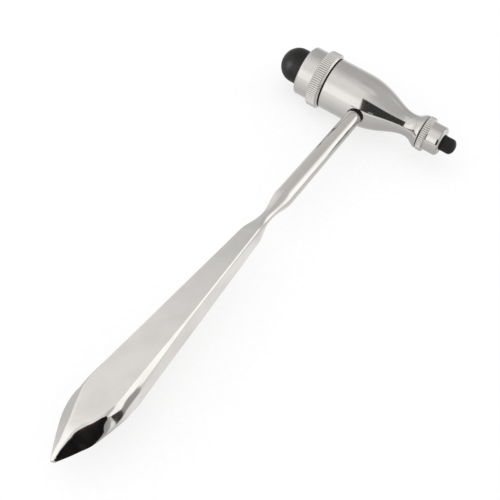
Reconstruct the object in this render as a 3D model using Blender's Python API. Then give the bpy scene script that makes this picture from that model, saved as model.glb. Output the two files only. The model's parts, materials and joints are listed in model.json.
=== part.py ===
"""Chrome reflex hammer with a large and a small rubber end, lying on its side.

The head lies along X with its small end at +X, the shaft runs along Y with its spear point at -Y, and the
origin is on the resting plane, under the middle of the hammer. Lengths are metres.
"""
import math

import bmesh
import bpy
from mathutils import Vector

# Head body, measured along the head's axis from the shaft's axis
LARGE_SIDE = 0.0175          # shaft's axis to the shoulder that faces the large collar
BARREL_LENGTH = 0.0125       # straight barrel, from that shoulder
TAPER_LENGTH = 0.0261        # barrel to the narrowest point of the neck
FLARE_LENGTH = 0.0067        # neck to the shoulder that faces the small collar
BODY_RADIUS = 0.0117
NECK_RADIUS = 0.0053
BEAD_RADIUS = 0.0077
BEAD_EDGE = 0.0005           # rounded rim of the bead
BARREL_EDGE = 0.0003         # chamfer on the barrel's rim

# Screw threads: pitch, depth of the ridge and width of its crest
LARGE_PITCH = 0.0020
SMALL_PITCH = 0.00125
TENON_PITCH = 0.00125
THREAD_DEPTH_SHARE = 0.42    # depth over pitch
ROOT_WIDTH_SHARE = 0.2       # width of the groove's floor over pitch
FLANK_SLOPE = math.tan(math.radians(30.0))
THREAD_PLAY = 0.00016        # radial play, and axial play on each flank

# Large end
LARGE_SHOULDER = 0.0017      # barrel down to the thread
LARGE_THREAD_LENGTH = 0.0062
LARGE_RELIEF = 0.0018        # undercut between thread and shoulder
LARGE_WALL = 0.0011          # collar wall outside its thread
LARGE_KNURL_LENGTH = 0.0052
LARGE_KNURL_STEP = 0.0017    # knurl above the smooth part of the collar
LARGE_SMOOTH_LENGTH = 0.0073
LARGE_ROUND = 0.0013         # rounded front edge of the collar
LARGE_FLANGE = 0.0026        # thickness of the rubber's flange
LARGE_LIP = 0.00115          # flange beyond the dome
DOME_STRAIGHT = 0.0039       # straight part of the rubber outside the collar
DOME_ROUND = 0.0074          # length of the large rubber's rounded end
RING_THICKNESS = 0.0006      # rubber ring between collar and shoulder
RING_INSET = 0.0002          # ring below the barrel's surface

# Small end
SMALL_SHOULDER = 0.0023
SMALL_THREAD_LENGTH = 0.0041
SMALL_RELIEF = 0.0014
SMALL_WALL = 0.0011
SMALL_KNURL_LENGTH = 0.0029
SMALL_KNURL_STEP = 0.0012
SMALL_SMOOTH_LENGTH = 0.0066
SMALL_ROUND = 0.0020
SMALL_FLANGE = 0.0020
SMALL_LIP = 0.00127
TIP_STRAIGHT = 0.0038
TIP_ROUND = 0.0023           # length of the small rubber's rounded end

# Knurls
KNURL_PITCH = 0.0010
KNURL_DEPTH = 0.0004
KNURL_CHAMFER = 0.0006

# Handle, measured from the shaft's shoulder towards the spear point
SHAFT_LENGTH = 0.0608
WAIST_DROP = 0.0135          # shaft's foot to the waist
WAIST_RISE = 0.0143          # waist to the start of the grip
GRIP_LENGTH = 0.1000         # start of the grip to its widest place
SPEAR_LENGTH = 0.0305
SHAFT_TOP_RADIUS = 0.0035
SHAFT_FOOT_RADIUS = 0.00415
SHAFT_ROUND = 0.0006
WAIST_RADIUS = 0.0024
GRIP_START_WIDTH = 0.0085
GRIP_END_WIDTH = 0.0214
GRIP_START_THICKNESS = 0.0058
GRIP_END_THICKNESS = 0.0092
GRIP_START_EDGE = 0.0011
GRIP_END_EDGE = 0.0015
SPEAR_TIP_RADIUS = 0.0008
GRIP_TURN = math.radians(25.0)   # the grip's flats against the head's axis, as the thread comes tight

# Tenon, seat and rubber ring between shaft and head
TENON_SHOULDER = 0.0010      # shaft down to the tenon
TENON_PILOT = 0.0017         # plain part of the tenon, inside the ring
TENON_RELIEF = 0.0011
TENON_THREAD_LENGTH = 0.0052
SEAT_DEPTH = 0.0013
SHAFT_RING_LENGTH = 0.00135
HOLE_SPARE = 0.0012          # hole beyond the tenon's end

# Clearances
SEAT_GAP = 0.0003            # between pieces that seat on each other
SIDE_GAP = 0.00025           # round pieces that pass through a bore

# Fineness of the meshes
ROUND_STEPS = 36
SMALL_STEPS = 24
THREAD_STEPS = 20
CURVE_STEPS = 6

# Radii and places that follow from the sizes above
LARGE_DEPTH = LARGE_PITCH * THREAD_DEPTH_SHARE
SMALL_DEPTH = SMALL_PITCH * THREAD_DEPTH_SHARE
TENON_DEPTH = TENON_PITCH * THREAD_DEPTH_SHARE
LARGE_SPIGOT_RADIUS = BODY_RADIUS - LARGE_SHOULDER
SMALL_SPIGOT_RADIUS = BEAD_RADIUS - SMALL_SHOULDER
TENON_RADIUS = SHAFT_TOP_RADIUS - TENON_SHOULDER
LARGE_COLLAR_RADIUS = LARGE_SPIGOT_RADIUS + THREAD_PLAY + LARGE_WALL
SMALL_COLLAR_RADIUS = SMALL_SPIGOT_RADIUS + THREAD_PLAY + SMALL_WALL
LARGE_KNURL_RADIUS = LARGE_COLLAR_RADIUS + LARGE_KNURL_STEP
SMALL_KNURL_RADIUS = SMALL_COLLAR_RADIUS + SMALL_KNURL_STEP
LARGE_FLANGE_RADIUS = LARGE_SPIGOT_RADIUS - LARGE_DEPTH - SEAT_GAP / 2
SMALL_FLANGE_RADIUS = SMALL_SPIGOT_RADIUS - SMALL_DEPTH - SEAT_GAP / 2
DOME_RADIUS = LARGE_FLANGE_RADIUS - LARGE_LIP
TIP_RADIUS = SMALL_FLANGE_RADIUS - SMALL_LIP

LARGE_FACE = -LARGE_SIDE
BARREL_END = LARGE_FACE + BARREL_LENGTH
NECK = BARREL_END + TAPER_LENGTH
SMALL_FACE = NECK + FLARE_LENGTH
LARGE_SPIGOT_END = LARGE_FACE - LARGE_RELIEF - LARGE_THREAD_LENGTH
SMALL_SPIGOT_END = SMALL_FACE + SMALL_RELIEF + SMALL_THREAD_LENGTH
LARGE_MOUTH = LARGE_FACE - RING_THICKNESS - 2 * SEAT_GAP
SMALL_MOUTH = SMALL_FACE + SEAT_GAP
LARGE_KNURL_END = LARGE_MOUTH - LARGE_KNURL_LENGTH
SMALL_KNURL_END = SMALL_MOUTH + SMALL_KNURL_LENGTH
LARGE_FLANGE_BACK = LARGE_SPIGOT_END - SEAT_GAP
SMALL_FLANGE_BACK = SMALL_SPIGOT_END + SEAT_GAP
LARGE_FLANGE_FRONT = LARGE_FLANGE_BACK - LARGE_FLANGE
SMALL_FLANGE_FRONT = SMALL_FLANGE_BACK + SMALL_FLANGE
LARGE_FRONT = LARGE_KNURL_END - LARGE_SMOOTH_LENGTH
SMALL_FRONT = SMALL_KNURL_END + SMALL_SMOOTH_LENGTH
DOME_START = LARGE_FRONT - DOME_STRAIGHT
DOME_APEX = DOME_START - DOME_ROUND
TIP_START = SMALL_FRONT + TIP_STRAIGHT
TIP_APEX = TIP_START + TIP_ROUND

# Along the shaft, as distances from the head's axis
SEAT_FLOOR = BODY_RADIUS - SEAT_DEPTH
RING_TOP = SEAT_FLOOR + SEAT_GAP
RING_FOOT = RING_TOP + SHAFT_RING_LENGTH
SHAFT_TOP = RING_FOOT + SEAT_GAP
PILOT_END = SHAFT_TOP - TENON_PILOT
TENON_THREAD_START = PILOT_END - TENON_RELIEF
TENON_END = TENON_THREAD_START - TENON_THREAD_LENGTH
SHAFT_FOOT = SHAFT_TOP + SHAFT_LENGTH
WAIST = SHAFT_FOOT + WAIST_DROP
GRIP_START = WAIST + WAIST_RISE
GRIP_END = GRIP_START + GRIP_LENGTH
SPEAR_POINT = GRIP_END + SPEAR_LENGTH

# The head's centre, where its axis crosses the shaft's, in the frame of the whole hammer
HEAD_CENTRE = Vector((
    -(DOME_APEX + TIP_APEX) / 2,
    (SPEAR_POINT - LARGE_KNURL_RADIUS) / 2,
    LARGE_KNURL_RADIUS,
))


def clear_scene():
    for item in list(bpy.data.objects):
        bpy.data.objects.remove(item, do_unlink=True)


def make_material(name, colour, roughness, metallic):
    material = bpy.data.materials.new(name)
    material.use_nodes = True
    shader = material.node_tree.nodes["Principled BSDF"]
    shader.inputs["Base Color"].default_value = (*colour, 1.0)
    shader.inputs["Roughness"].default_value = roughness
    shader.inputs["Metallic"].default_value = metallic
    return material


def chrome(name):
    return make_material(name, (0.55, 0.54, 0.52), 0.12, 1.0)


def rubber(name):
    return make_material(name, (0.022, 0.021, 0.020), 0.55, 0.0)


def add_object(name, bm, material=None):
    """Turn a bmesh into an object at the head's centre."""
    bmesh.ops.recalc_face_normals(bm, faces=bm.faces)
    mesh = bpy.data.meshes.new(name)
    bm.to_mesh(mesh)
    bm.free()
    item = bpy.data.objects.new(name, mesh)
    item.location = HEAD_CENTRE
    bpy.context.scene.collection.objects.link(item)
    if material is None:
        item.hide_render = True
        item.display_type = "WIRE"
    else:
        mesh.materials.append(material)
        mesh.shade_smooth()
        mesh.set_sharp_from_angle(angle=math.radians(30.0))
    return item


def boolean(target, tool, operation):
    step = target.modifiers.new(tool.name, "BOOLEAN")
    step.operation = operation
    step.solver = "EXACT"
    step.object = tool


def turned(name, profile, steps, material=None):
    """Spin a closed outline of (place on the axis, radius) about the local X axis."""
    bm = bmesh.new()
    corners = [bm.verts.new((place, 0.0, radius)) for place, radius in profile]
    edges = [bm.edges.new(pair) for pair in zip(corners, corners[1:])]
    if profile[0][1] > 0.0:
        edges.append(bm.edges.new((corners[-1], corners[0])))
    bmesh.ops.spin(
        bm, geom=corners + edges, cent=(0, 0, 0), axis=(1, 0, 0), dvec=(0, 0, 0),
        angle=math.tau, steps=steps, use_merge=True, use_duplicate=False,
    )
    bmesh.ops.remove_doubles(bm, verts=bm.verts, dist=1e-6)
    return add_object(name, bm, material)


def helix_tool(name, start, end, pitch, offset, section):
    """Sweep a section of (place, radius) corners along a right-hand helix about the local X axis."""
    bm = bmesh.new()
    first = math.floor((start - offset) / pitch * THREAD_STEPS)
    last = math.ceil((end - offset) / pitch * THREAD_STEPS)
    rings = []
    for step in range(first, last + 1):
        angle = math.tau * step / THREAD_STEPS
        advance = pitch * step / THREAD_STEPS + offset
        ring = [
            bm.verts.new((advance + place, -radius * math.sin(angle), radius * math.cos(angle)))
            for place, radius in section
        ]
        rings.append(ring)
    count = len(section)
    for ring, following in zip(rings, rings[1:]):
        for i in range(count):
            j = (i + 1) % count
            bm.faces.new((ring[i], ring[j], following[j], following[i]))
    bm.faces.new(rings[0])
    bm.faces.new(rings[-1])
    return add_object(name, bm)


def groove_tool(name, start, end, pitch, radius):
    """Cutter for the groove of an outside thread whose crests are at the radius."""
    depth = pitch * THREAD_DEPTH_SHARE
    over = depth / 3
    floor = pitch * ROOT_WIDTH_SHARE / 2
    mouth = floor + (depth + over) * FLANK_SLOPE
    section = [
        (-floor, radius - depth),
        (floor, radius - depth),
        (mouth, radius + over),
        (-mouth, radius + over),
    ]
    return helix_tool(name, start, end, pitch, 0.0, section)


def ridge_tool(name, start, end, pitch, radius):
    """Cutter for the inside thread that takes an outside thread of the radius, with play."""
    depth = pitch * THREAD_DEPTH_SHARE
    under = depth / 3
    crest = pitch / 2 - pitch * ROOT_WIDTH_SHARE / 2 - depth * FLANK_SLOPE + THREAD_PLAY
    tip = crest - THREAD_PLAY * FLANK_SLOPE
    foot = crest + (depth - THREAD_PLAY + under) * FLANK_SLOPE
    section = [
        (-foot, radius - depth + THREAD_PLAY - under),
        (foot, radius - depth + THREAD_PLAY - under),
        (tip, radius + THREAD_PLAY),
        (-tip, radius + THREAD_PLAY),
    ]
    return helix_tool(name, start, end, pitch, pitch / 2, section)


def knurl_tool(name, start, end, radius, inner):
    """Ring with straight ridges along the axis and a chamfer at each end."""
    ridges = round(math.tau * radius / KNURL_PITCH)
    bm = bmesh.new()
    rows = [
        (start, KNURL_DEPTH),
        (start + math.copysign(KNURL_CHAMFER, end - start), 0.0),
        (end - math.copysign(KNURL_CHAMFER, end - start), 0.0),
        (end, KNURL_DEPTH),
    ]
    loops = []
    for place, drop in rows:
        loop = []
        for i in range(2 * ridges):
            angle = math.pi * i / ridges
            height = radius - (KNURL_DEPTH if i % 2 else 0.0) - drop
            loop.append(bm.verts.new((place, height * math.sin(angle), -height * math.cos(angle))))
        loops.append(loop)
    for place in (end, start):
        loop = []
        for i in range(2 * ridges):
            angle = math.pi * i / ridges
            loop.append(bm.verts.new((place, inner * math.sin(angle), -inner * math.cos(angle))))
        loops.append(loop)
    for loop, following in zip(loops, loops[1:] + loops[:1]):
        for i in range(2 * ridges):
            j = (i + 1) % (2 * ridges)
            bm.faces.new((loop[i], loop[j], following[j], following[i]))
    return add_object(name, bm)


def bezier(a, b, c, d, steps):
    """Points after the first along a cubic curve."""
    points = []
    for i in range(1, steps + 1):
        t = i / steps
        weights = ((1 - t) ** 3, 3 * t * (1 - t) ** 2, 3 * t * t * (1 - t), t ** 3)
        points.append(tuple(sum(w * p[k] for w, p in zip(weights, (a, b, c, d))) for k in (0, 1)))
    return points


def quarter(centre, along, out, steps):
    """Points of a quarter ellipse from its place on the axis side to its outer side."""
    points = []
    for i in range(steps + 1):
        angle = math.pi / 2 * i / steps
        points.append((centre[0] + along * math.cos(angle), centre[1] + out * math.sin(angle)))
    return points


def smooth(t):
    return (1 - math.cos(math.pi * min(max(t, 0.0), 1.0))) / 2


def mix(a, b, t):
    return a + (b - a) * t


def head_profile():
    taper_start = (BARREL_END, BODY_RADIUS)
    neck = (NECK, NECK_RADIUS)
    bead = (SMALL_FACE - BEAD_EDGE, BEAD_RADIUS)
    profile = [
        (LARGE_SPIGOT_END, 0.0),
        (LARGE_SPIGOT_END, LARGE_SPIGOT_RADIUS - LARGE_DEPTH),
        (LARGE_SPIGOT_END + LARGE_DEPTH, LARGE_SPIGOT_RADIUS),
        (LARGE_FACE - LARGE_RELIEF, LARGE_SPIGOT_RADIUS),
        (LARGE_FACE - LARGE_RELIEF, LARGE_SPIGOT_RADIUS - LARGE_DEPTH * 1.2),
        (LARGE_FACE, LARGE_SPIGOT_RADIUS - LARGE_DEPTH * 1.2),
        (LARGE_FACE, BODY_RADIUS - BARREL_EDGE),
        (LARGE_FACE + BARREL_EDGE, BODY_RADIUS),
        taper_start,
    ]
    profile += bezier(
        taper_start,
        (mix(BARREL_END, NECK, 0.53), BODY_RADIUS),
        (mix(BARREL_END, NECK, 0.74), NECK_RADIUS),
        neck, 2 * CURVE_STEPS,
    )
    profile += bezier(
        neck,
        (mix(NECK, SMALL_FACE, 0.5), NECK_RADIUS),
        (mix(NECK, SMALL_FACE, 0.6), mix(NECK_RADIUS, BEAD_RADIUS, 0.8)),
        bead, CURVE_STEPS,
    )
    profile += [
        (SMALL_FACE, BEAD_RADIUS - BEAD_EDGE),
        (SMALL_FACE, SMALL_SPIGOT_RADIUS - SMALL_DEPTH * 1.2),
        (SMALL_FACE + SMALL_RELIEF, SMALL_SPIGOT_RADIUS - SMALL_DEPTH * 1.2),
        (SMALL_FACE + SMALL_RELIEF, SMALL_SPIGOT_RADIUS),
        (SMALL_SPIGOT_END - SMALL_DEPTH, SMALL_SPIGOT_RADIUS),
        (SMALL_SPIGOT_END, SMALL_SPIGOT_RADIUS - SMALL_DEPTH),
        (SMALL_SPIGOT_END, 0.0),
    ]
    return profile


def along_shaft(tool):
    """Turn a tool made along X so that it points down the shaft, to -Y."""
    tool.rotation_euler = (0.0, 0.0, -math.pi / 2)
    return tool


def seat_tool():
    """Seat for the rubber ring, lead-in and tapping hole for the tenon, along the shaft's axis."""
    hole = TENON_RADIUS - TENON_DEPTH + THREAD_PLAY
    lead = TENON_RADIUS + THREAD_PLAY + SIDE_GAP
    seat = SHAFT_TOP_RADIUS + SIDE_GAP
    outside = BODY_RADIUS + LARGE_KNURL_STEP
    profile = [
        (TENON_END - HOLE_SPARE, 0.0),
        (TENON_END - HOLE_SPARE, hole),
        (TENON_THREAD_START, hole),
        (TENON_THREAD_START + TENON_DEPTH, lead),
        (SEAT_FLOOR, lead),
        (SEAT_FLOOR, seat),
        (outside, seat),
        (outside, 0.0),
    ]
    return along_shaft(turned("seat_tool", profile, SMALL_STEPS))


def make_head_body():
    head = turned("head_body", head_profile(), ROUND_STEPS, chrome("head_chrome"))
    boolean(head, seat_tool(), "DIFFERENCE")
    tapping = ridge_tool(
        "tapping_tool", TENON_END - HOLE_SPARE / 2, TENON_THREAD_START + TENON_PITCH, TENON_PITCH, TENON_RADIUS,
    )
    boolean(head, along_shaft(tapping), "DIFFERENCE")
    large = groove_tool(
        "large_groove_tool", LARGE_SPIGOT_END - LARGE_PITCH, LARGE_FACE - LARGE_RELIEF / 2,
        LARGE_PITCH, LARGE_SPIGOT_RADIUS,
    )
    boolean(head, large, "DIFFERENCE")
    small = groove_tool(
        "small_groove_tool", SMALL_FACE + SMALL_RELIEF / 2, SMALL_SPIGOT_END + SMALL_PITCH,
        SMALL_PITCH, SMALL_SPIGOT_RADIUS,
    )
    boolean(head, small, "DIFFERENCE")


def make_large_collar():
    bore = LARGE_SPIGOT_RADIUS - LARGE_DEPTH + THREAD_PLAY
    lead = LARGE_SPIGOT_RADIUS + THREAD_PLAY + SIDE_GAP
    pocket = LARGE_FLANGE_RADIUS + SIDE_GAP + THREAD_PLAY
    hole = DOME_RADIUS + SIDE_GAP
    root = LARGE_KNURL_RADIUS - 2 * KNURL_DEPTH - SIDE_GAP
    lead_end = LARGE_FACE - LARGE_RELIEF
    shoulder = LARGE_FLANGE_FRONT - SEAT_GAP
    rounding = (LARGE_FRONT + LARGE_ROUND, LARGE_COLLAR_RADIUS - LARGE_ROUND)
    profile = [(LARGE_FRONT, hole)]
    profile += quarter(rounding, -LARGE_ROUND, LARGE_ROUND, CURVE_STEPS // 2)
    profile += [
        (LARGE_KNURL_END + SIDE_GAP, LARGE_COLLAR_RADIUS),
        (LARGE_KNURL_END + SIDE_GAP, root),
        (LARGE_MOUTH - SIDE_GAP, root),
        (LARGE_MOUTH, root - SIDE_GAP),
        (LARGE_MOUTH, lead),
        (lead_end, lead),
        (lead_end - LARGE_DEPTH, bore),
        (LARGE_SPIGOT_END, bore),
        (LARGE_SPIGOT_END, pocket),
        (shoulder, pocket),
        (shoulder, hole),
    ]
    collar = turned("large_collar", profile, ROUND_STEPS, chrome("large_collar_chrome"))
    knurl = knurl_tool(
        "large_knurl_tool", LARGE_KNURL_END, LARGE_MOUTH - SIDE_GAP / 2, LARGE_KNURL_RADIUS,
        LARGE_COLLAR_RADIUS - LARGE_WALL / 2,
    )
    boolean(collar, knurl, "UNION")
    thread = ridge_tool(
        "large_ridge_tool", LARGE_SPIGOT_END - LARGE_PITCH / 2, lead_end + LARGE_PITCH / 2,
        LARGE_PITCH, LARGE_SPIGOT_RADIUS,
    )
    boolean(collar, thread, "DIFFERENCE")


def make_small_collar():
    bore = SMALL_SPIGOT_RADIUS - SMALL_DEPTH + THREAD_PLAY
    lead = SMALL_SPIGOT_RADIUS + THREAD_PLAY + SIDE_GAP
    pocket = SMALL_FLANGE_RADIUS + SIDE_GAP + THREAD_PLAY
    hole = TIP_RADIUS + SIDE_GAP
    root = SMALL_KNURL_RADIUS - 2 * KNURL_DEPTH - SIDE_GAP
    lead_end = SMALL_FACE + SMALL_RELIEF
    shoulder = SMALL_FLANGE_FRONT + SEAT_GAP
    rounding = (SMALL_FRONT - SMALL_ROUND, SMALL_COLLAR_RADIUS - SMALL_ROUND)
    profile = [(SMALL_FRONT, hole)]
    profile += quarter(rounding, SMALL_ROUND, SMALL_ROUND, CURVE_STEPS // 2)
    profile += [
        (SMALL_KNURL_END - SIDE_GAP, SMALL_COLLAR_RADIUS),
        (SMALL_KNURL_END - SIDE_GAP, root),
        (SMALL_MOUTH + SIDE_GAP, root),
        (SMALL_MOUTH, root - SIDE_GAP),
        (SMALL_MOUTH, lead),
        (lead_end, lead),
        (lead_end + SMALL_DEPTH, bore),
        (SMALL_SPIGOT_END, bore),
        (SMALL_SPIGOT_END, pocket),
        (shoulder, pocket),
        (shoulder, hole),
    ]
    collar = turned("small_collar", profile, SMALL_STEPS, chrome("small_collar_chrome"))
    knurl = knurl_tool(
        "small_knurl_tool", SMALL_KNURL_END, SMALL_MOUTH + SIDE_GAP / 2, SMALL_KNURL_RADIUS,
        SMALL_COLLAR_RADIUS - SMALL_WALL / 2,
    )
    boolean(collar, knurl, "UNION")
    thread = ridge_tool(
        "small_ridge_tool", lead_end - SMALL_PITCH / 2, SMALL_SPIGOT_END + SMALL_PITCH / 2,
        SMALL_PITCH, SMALL_SPIGOT_RADIUS,
    )
    boolean(collar, thread, "DIFFERENCE")


def make_large_mallet():
    profile = quarter((DOME_START, 0.0), -DOME_ROUND, DOME_RADIUS, CURVE_STEPS)
    profile[0] = (DOME_APEX, 0.0)
    profile += [
        (LARGE_FLANGE_FRONT, DOME_RADIUS),
        (LARGE_FLANGE_FRONT, LARGE_FLANGE_RADIUS),
        (LARGE_FLANGE_BACK, LARGE_FLANGE_RADIUS),
        (LARGE_FLANGE_BACK, 0.0),
    ]
    turned("large_mallet", profile, ROUND_STEPS, rubber("large_mallet_rubber"))


def make_small_mallet():
    profile = quarter((TIP_START, 0.0), TIP_ROUND, TIP_RADIUS, CURVE_STEPS)
    profile[0] = (TIP_APEX, 0.0)
    profile += [
        (SMALL_FLANGE_FRONT, TIP_RADIUS),
        (SMALL_FLANGE_FRONT, SMALL_FLANGE_RADIUS),
        (SMALL_FLANGE_BACK, SMALL_FLANGE_RADIUS),
        (SMALL_FLANGE_BACK, 0.0),
    ]
    turned("small_mallet", profile, SMALL_STEPS, rubber("small_mallet_rubber"))


def make_collar_ring():
    inner = LARGE_SPIGOT_RADIUS + SIDE_GAP
    outer = BODY_RADIUS - RING_INSET
    front = LARGE_FACE - SEAT_GAP
    back = front - RING_THICKNESS
    profile = [(back, inner), (back, outer), (front, outer), (front, inner)]
    turned("collar_ring", profile, ROUND_STEPS, rubber("collar_ring_rubber"))


def make_shaft_ring():
    inner = TENON_RADIUS + SIDE_GAP
    wall = SHAFT_TOP_RADIUS - inner
    middle = (RING_TOP + RING_FOOT) / 2
    half = SHAFT_RING_LENGTH / 2
    profile = [(RING_FOOT, inner), (RING_TOP, inner)]
    for i in range(CURVE_STEPS + 1):
        angle = math.pi * i / CURVE_STEPS
        profile.append((middle - half * math.cos(angle), inner + wall * mix(0.7, 1.0, math.sin(angle))))
    along_shaft(turned("shaft_ring", profile, SMALL_STEPS, rubber("shaft_ring_rubber")))


def handle_sections():
    """Sections of the shaft and grip: distance, half width, half thickness, corner width, corner height."""
    sections = []

    def round_section(distance, radius):
        sections.append((distance, radius, radius, radius, radius))

    groove = TENON_RADIUS - TENON_DEPTH * 1.2
    round_section(TENON_END, TENON_RADIUS - TENON_DEPTH)
    round_section(TENON_END + TENON_DEPTH, TENON_RADIUS)
    round_section(TENON_THREAD_START, TENON_RADIUS)
    round_section(TENON_THREAD_START, groove)
    round_section(PILOT_END, groove)
    round_section(PILOT_END, TENON_RADIUS)
    round_section(SHAFT_TOP, TENON_RADIUS)
    round_section(SHAFT_TOP, SHAFT_TOP_RADIUS - SHAFT_ROUND)
    round_section(SHAFT_TOP + SHAFT_ROUND * 0.3, SHAFT_TOP_RADIUS - SHAFT_ROUND * 0.3)
    round_section(SHAFT_TOP + SHAFT_ROUND, SHAFT_TOP_RADIUS)
    for i in range(CURVE_STEPS):
        t = i / CURVE_STEPS
        round_section(mix(SHAFT_FOOT, WAIST, t), mix(SHAFT_FOOT_RADIUS, WAIST_RADIUS, smooth(t)))
    for i in range(CURVE_STEPS):
        t = i / CURVE_STEPS
        blend = smooth(t) ** 1.3
        width = mix(WAIST_RADIUS, GRIP_START_WIDTH / 2, blend)
        height = mix(WAIST_RADIUS, GRIP_START_THICKNESS / 2, blend)
        corner = mix(WAIST_RADIUS, min(GRIP_START_EDGE, GRIP_START_THICKNESS / 2), blend)
        sections.append((mix(WAIST, GRIP_START, t), width, height, corner, corner))
    edge = min(GRIP_START_EDGE, GRIP_START_THICKNESS / 2)
    sections.append((GRIP_START, GRIP_START_WIDTH / 2, GRIP_START_THICKNESS / 2, edge, edge))
    sections += spear_sections()
    return sections


def spear_sections():
    """The widest place of the grip and the ogive from there to the point, its edges ever rounder."""
    sections = []
    half_width = GRIP_END_WIDTH / 2
    half_height = GRIP_END_THICKNESS / 2
    edge_share = GRIP_END_EDGE / half_width
    rim_share = min(GRIP_END_EDGE / half_height, 1.0)
    steps = 2 * CURVE_STEPS
    for i in range(steps + 1):
        t = 0.97 * i / steps
        width = max(half_width * (1 - t ** 2), SPEAR_TIP_RADIUS)
        height = max(half_height * (1 - t ** 2) ** 0.7, SPEAR_TIP_RADIUS)
        blend = smooth(t / 0.6)
        corner_width = width * mix(edge_share, 0.8, blend)
        corner_height = height * mix(rim_share, 0.9, blend)
        sections.append((mix(GRIP_END, SPEAR_POINT, t), width, height, corner_width, corner_height))
    return sections


def make_handle():
    """Skin closed rings of points over the sections; the corners of each are quarter ellipses."""
    bm = bmesh.new()
    count = SMALL_STEPS
    fit = 1 / math.cos(math.pi / count)
    rings = []
    for distance, width, height, corner_width, corner_height in handle_sections():
        ring = []
        for i in range(count):
            angle = math.tau * (i + 0.5) / count
            x = math.copysign(width - corner_width, math.cos(angle)) + corner_width * fit * math.cos(angle)
            z = math.copysign(height - corner_height, math.sin(angle)) + corner_height * fit * math.sin(angle)
            ring.append(bm.verts.new((x, -distance, z)))
        rings.append(ring)
    for ring, following in zip(rings, rings[1:]):
        for i in range(count):
            j = (i + 1) % count
            bm.faces.new((ring[i], ring[j], following[j], following[i]))
    bm.faces.new(rings[0])
    point = bm.verts.new((0.0, -SPEAR_POINT, 0.0))
    for i in range(count):
        bm.faces.new((rings[-1][i], rings[-1][(i + 1) % count], point))
    handle = add_object("handle", bm, chrome("handle_chrome"))
    handle.rotation_euler = (0.0, -GRIP_TURN, 0.0)
    thread = groove_tool(
        "tenon_groove_tool", TENON_END - TENON_PITCH, PILOT_END - TENON_RELIEF / 2, TENON_PITCH, TENON_RADIUS,
    )
    boolean(handle, along_shaft(thread), "DIFFERENCE")


def main():
    clear_scene()
    make_head_body()
    make_large_mallet()
    make_large_collar()
    make_collar_ring()
    make_small_mallet()
    make_small_collar()
    make_shaft_ring()
    make_handle()


main()
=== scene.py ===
"""Looks of a chrome reflex hammer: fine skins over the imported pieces, chrome, rubber and a white studio.

Places along the head and distances along the shaft are measured from the head's centre, where the two axes
cross. The head lies along X and the shaft runs to -Y. Lengths are metres.
"""
import json
import math

import bmesh
import bpy
import numpy as np
from mathutils import Matrix, Vector


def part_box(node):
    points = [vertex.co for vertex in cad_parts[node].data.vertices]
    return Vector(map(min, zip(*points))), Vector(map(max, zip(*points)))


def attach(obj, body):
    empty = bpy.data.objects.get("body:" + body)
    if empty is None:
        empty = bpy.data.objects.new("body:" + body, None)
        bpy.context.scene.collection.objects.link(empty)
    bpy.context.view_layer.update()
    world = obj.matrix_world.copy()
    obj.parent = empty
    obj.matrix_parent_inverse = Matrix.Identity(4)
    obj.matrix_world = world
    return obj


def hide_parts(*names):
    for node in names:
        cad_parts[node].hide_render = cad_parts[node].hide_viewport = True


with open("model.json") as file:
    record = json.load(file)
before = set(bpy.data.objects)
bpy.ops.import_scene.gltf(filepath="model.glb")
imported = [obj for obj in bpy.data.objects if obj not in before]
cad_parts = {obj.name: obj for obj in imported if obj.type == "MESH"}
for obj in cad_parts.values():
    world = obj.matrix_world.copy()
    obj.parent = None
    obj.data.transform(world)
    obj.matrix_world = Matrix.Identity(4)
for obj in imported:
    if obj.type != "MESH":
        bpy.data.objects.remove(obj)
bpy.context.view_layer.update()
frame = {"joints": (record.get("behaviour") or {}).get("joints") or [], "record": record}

# What the frame gives: the head's centre, the threads' pitches, and the ends and radius of each piece
JOINTS = {joint["name"]: joint for joint in frame["joints"]}
HEAD = Vector(JOINTS["head_turn"]["pos_m"])
PITCHES = {pair["follows"]: pair["ratio"] * math.tau for pair in frame["record"]["behaviour"]["couplings"]}
LARGE_PITCH = PITCHES["large_collar_turn"]
SMALL_PITCH = PITCHES["small_collar_turn"]
TENON_PITCH = PITCHES["head_turn"]


def along_head(node):
    """Ends of a turned piece along the head, and its radius."""
    low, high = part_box(node)
    return low.x - HEAD.x, high.x - HEAD.x, HEAD.z - low.z


def along_shaft(node):
    """Distances from the head's centre at which a piece of the shaft begins and ends."""
    low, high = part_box(node)
    return HEAD.y - high.y, HEAD.y - low.y


LARGE_SPIGOT_END, SMALL_SPIGOT_END, BODY_RADIUS = along_head("head_body")
DOME_APEX, LARGE_FLANGE_BACK, LARGE_FLANGE_RADIUS = along_head("large_mallet")
LARGE_FRONT, _, LARGE_KNURL_RADIUS = along_head("large_collar")
RING_BACK, _, RING_RADIUS = along_head("collar_ring")
SMALL_FLANGE_BACK, TIP_APEX, SMALL_FLANGE_RADIUS = along_head("small_mallet")
SMALL_MOUTH, SMALL_FRONT, SMALL_KNURL_RADIUS = along_head("small_collar")
TENON_END, SPEAR_POINT = along_shaft("handle")
SHAFT_RING_TOP, SHAFT_RING_FOOT = along_shaft("shaft_ring")

# Seam between the large collar and the head, with the ring in it
SEAM_LENGTH = 0.00060
SEAM_GAP = 0.00005

# Gaps that the frame keeps between pieces
SEAT_GAP = 0.0003
SIDE_GAP = 0.00025
THREAD_PLAY = 0.00016

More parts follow.
